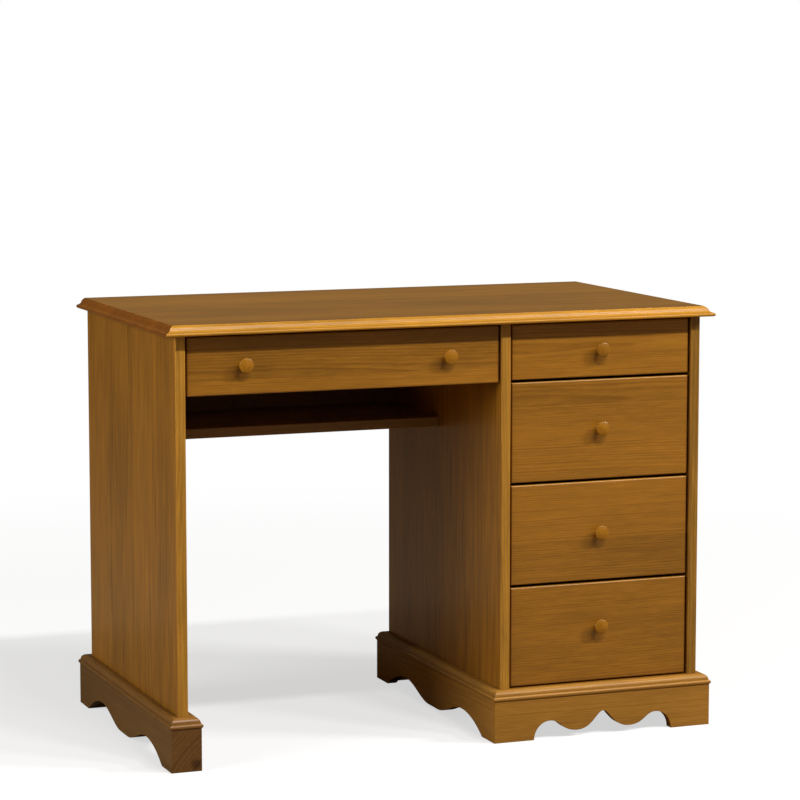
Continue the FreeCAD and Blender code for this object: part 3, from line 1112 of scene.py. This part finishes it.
@dataclass
class Drawer:
    """One drawer: its boards, the pins of its laps and the screws of its knobs.

    Lengths are in metres.
    """

    body: str
    # Painted light and shade of the front, set by where the drawer sits.
    front_light_and_shade: float
    front_stave: float = 0.12
    knob_heart: Pair = (0.02, 0.03)
    pin: Pin = Pin(rise=0.0003)
    pin_inset: float = 0.005
    pin_lift: float = 0.013

    def boards(self) -> list[Board]:
        """Front, sides, back, bottom and knobs."""
        front = {"stave": self.front_stave, "tone": self.front_light_and_shade}
        return [
            Board(f"{self.body}_front", Lay.UPRIGHT_LONG, **front),
            Board(f"{self.body}_left_side", Lay.UPRIGHT_DEEP, RAW_PINE),
            Board(f"{self.body}_right_side", Lay.UPRIGHT_DEEP, RAW_PINE),
            Board(f"{self.body}_back", Lay.UPRIGHT_LONG, RAW_PINE),
            Board(f"{self.body}_bottom", Lay.FLAT_LONG, BIRCH_PLY),
            Board(f"{self.body}_knob", Lay.TURNED, TURNED_PINE, heart=self.knob_heart),
        ]

    def fit_screws(self) -> bpy.types.Object:
        """Puts cross-recessed screws in the place of the plain ones that hold the knobs.

        Returns:
            The screws, as one piece.
        """
        node = f"{self.body}_knob_screw"
        low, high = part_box(node)
        screw = PanScrew(high.y - low.y - PanScrew.head_height)
        first, last = low.x + screw.head_radius, high.x - screw.head_radius
        mesh = bmesh.new()
        for x in (first, last) if last - first > screw.head_radius else (first,):
            seat = Matrix.Translation((x, high.y - screw.head_height, (low.z + high.z) / 2))
            screw.add(mesh, seat @ FACING_BACK)
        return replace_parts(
            new_piece(f"{self.body}_cross_screws", mesh, self.body, ZINC.material()), node
        )

    def pin_laps(self) -> bpy.types.Object:
        """Nails the sides to the front and the back, above and below the groove of the runner.

        Returns:
            The pins, as one piece.
        """
        mesh = bmesh.new()
        back_low, back_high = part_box(f"{self.body}_back")
        for side, outward in (("left", -1), ("right", 1)):
            low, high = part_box(f"{self.body}_{side}_side")
            x = low.x if outward < 0 else high.x
            turn = Matrix.Rotation(outward * math.pi / 2, 4, "Y")
            for y in (low.y + self.pin_inset, (back_low.y + back_high.y) / 2):
                for z in (low.z + self.pin_lift, high.z - self.pin_lift):
                    self.pin.add(mesh, Matrix.Translation((x, y, z)) @ turn)
        return new_piece(f"{self.body}_lap_pins", mesh, self.body, ZINC.material())


@dataclass(frozen=True)
class SoftBox:
    """An oblong lamp: its place, the point it faces and its sides in metres, its power in watts."""

    name: str
    place: Triple
    aim: Triple
    width: float
    height: float
    power: float

    LINE: ClassVar[Pair] = (-3.47, 5.1)
    LINE_AIM: ClassVar[Pair] = (-0.27, 0.6)
    STRIP_HEIGHT: ClassVar[float] = 0.3

    @classmethod
    def strip(cls, name: str, x: float, width: float, power: float) -> "SoftBox":
        """Makes one of the slim lamps in a line above the front, all facing it squarely.

        Args:
            name: the lamp's name.
            x: its place along the line.
            width: its length along the line.
            power: its watts.

        Returns:
            The lamp.
        """
        return cls(name, (x, *cls.LINE), (x, *cls.LINE_AIM), width, cls.STRIP_HEIGHT, power)

    def hang(self) -> None:
        """Adds the light to the scene."""
        data = bpy.data.lights.new(self.name, "AREA")
        data.shape = "RECTANGLE"
        data.size = self.width
        data.size_y = self.height
        data.energy = self.power
        light = bpy.data.objects.new(self.name, data)
        light.location = self.place
        sight = Vector(self.aim) - Vector(self.place)
        light.rotation_euler = sight.to_track_quat("-Z", "Y").to_euler()
        bpy.context.scene.collection.objects.link(light)


@dataclass(frozen=True)
class Studio:
    """Pale floor, soft lights, white surroundings and the camera.

    Lengths are in metres, the camera's lens and sensor in millimetres and angles in degrees.
    """

    lens: float = 136.5
    sensor: float = 36.0
    eye: Triple = (-1.9554, -5.1112, 1.2623)
    look_down: float = 7.101
    look_right: float = 21.137
    sight_reach: float = 200.0
    floor_reach: float = 60.0
    floor_sides: int = 64
    floor_pale: Colour = (0.86, 0.855, 0.845)
    floor_bounce: Colour = (0.26, 0.205, 0.135)
    floor_glow: float = 0.62
    floor_fade: Pair = (0.5, 3.0)
    backdrop: Colour = (1.0, 1.0, 1.0)
    room: Colour = (1.0, 0.89, 0.62)
    room_dim: float = 0.095

    LIGHTS: ClassVar[tuple[SoftBox, ...]] = (
        SoftBox.strip("front_key", x=0.1, width=0.8, power=70.0),
        SoftBox.strip("key", x=1.1, width=0.7, power=115.0),
        SoftBox.strip("right_key", x=2.9, width=0.9, power=140.0),
        SoftBox.strip("side_key", x=6.5, width=3.0, power=735.0),
        SoftBox("left_fill", (-3.4, -0.9, 1.6), (0.0, 0.0, 0.45), 1.6, 1.6, 80.0),
    )

    def build(self) -> None:
        """Sets everything up."""
        self._camera()
        self._floor()
        for light in self.LIGHTS:
            light.hang()
        self._surroundings()

    def _camera(self) -> None:
        """Puts the camera at the photograph's viewpoint."""
        data = bpy.data.cameras.new("camera")
        data.lens = self.lens
        data.sensor_width = self.sensor
        data.clip_end = self.sight_reach
        camera = bpy.data.objects.new("camera", data)
        camera.location = self.eye
        tilt, turn = math.radians(90 - self.look_down), math.radians(-self.look_right)
        camera.rotation_euler = (tilt, 0, turn)
        bpy.context.scene.collection.objects.link(camera)
        bpy.context.scene.camera = camera

    def _floor(self) -> None:
        """Lays a wide pale floor under the desk."""
        mesh = bmesh.new()
        bmesh.ops.create_circle(
            mesh, cap_ends=True, segments=self.floor_sides, radius=self.floor_reach
        )
        data = bpy.data.meshes.new("floor")
        mesh.to_mesh(data)
        mesh.free()
        data.materials.append(self._floor_material())
        floor = bpy.data.objects.new("floor", data)
        bpy.context.scene.collection.objects.link(floor)

    def _floor_material(self) -> bpy.types.Material:
        """Makes a floor that fades into the white round it and throws back little light.

        Returns:
            The material.
        """
        made, w = new_material("pale_floor")
        made.node_tree.nodes.clear()
        pale, bounce = (
            w.fed(w.add("ShaderNodeBsdfDiffuse"), {"Color": opaque(colour)}).outputs[0]
            for colour in (self.floor_pale, self.floor_bounce)
        )
        white = w.add("ShaderNodeEmission").outputs[0]
        spot = w.add("ShaderNodeNewGeometry").outputs["Position"]
        away = w.vector_math("LENGTH", spot)["Value"]
        fade = w.threshold(away, self.floor_fade)
        fade = w.math("MULTIPLY_ADD", fade, 1 - self.floor_glow, self.floor_glow)
        looked_at = w.add("ShaderNodeLightPath").outputs["Is Camera Ray"]
        surface = w.layered(looked_at, bounce, w.layered(fade, pale, white))
        w.fed(w.add("ShaderNodeOutputMaterial"), {"Surface": surface})
        return made

    def _surroundings(self) -> None:
        """White to look at, and a dimmer room that lights the desk and shows in its gloss."""
        scene = bpy.context.scene
        scene.view_settings.view_transform = "Standard"
        world = bpy.data.worlds.new("room")
        world.use_nodes = True
        scene.world = world
        w = Wiring(world.node_tree)
        looked_at = w.add("ShaderNodeLightPath").outputs["Is Camera Ray"]
        dim = tuple(part * self.room_dim for part in self.room)
        colour = w.blend(looked_at, opaque(dim), opaque(self.backdrop))
        w.fed(world.node_tree.nodes["Background"], {"Color": colour})


def main() -> None:
    """Dresses every sub-assembly in order, adds the hardware and sets up the studio."""
    logging.basicConfig(level=logging.INFO, format="%(name)s: %(message)s")
    Studio().build()
    inside = Inside()
    drawers = [Drawer(body, tone) for body, tone in FRONT_LIGHT_AND_SHADE.items()]
    for assembly in (Desktop(), Uprights(), Base(), inside, *drawers):
        for board in assembly.boards():
            board.dress()
    inside.dress_screws()
    inside.pin_back()
    for drawer in drawers:
        drawer.fit_screws()
        drawer.pin_laps()


if __name__ == "__main__":
    main()
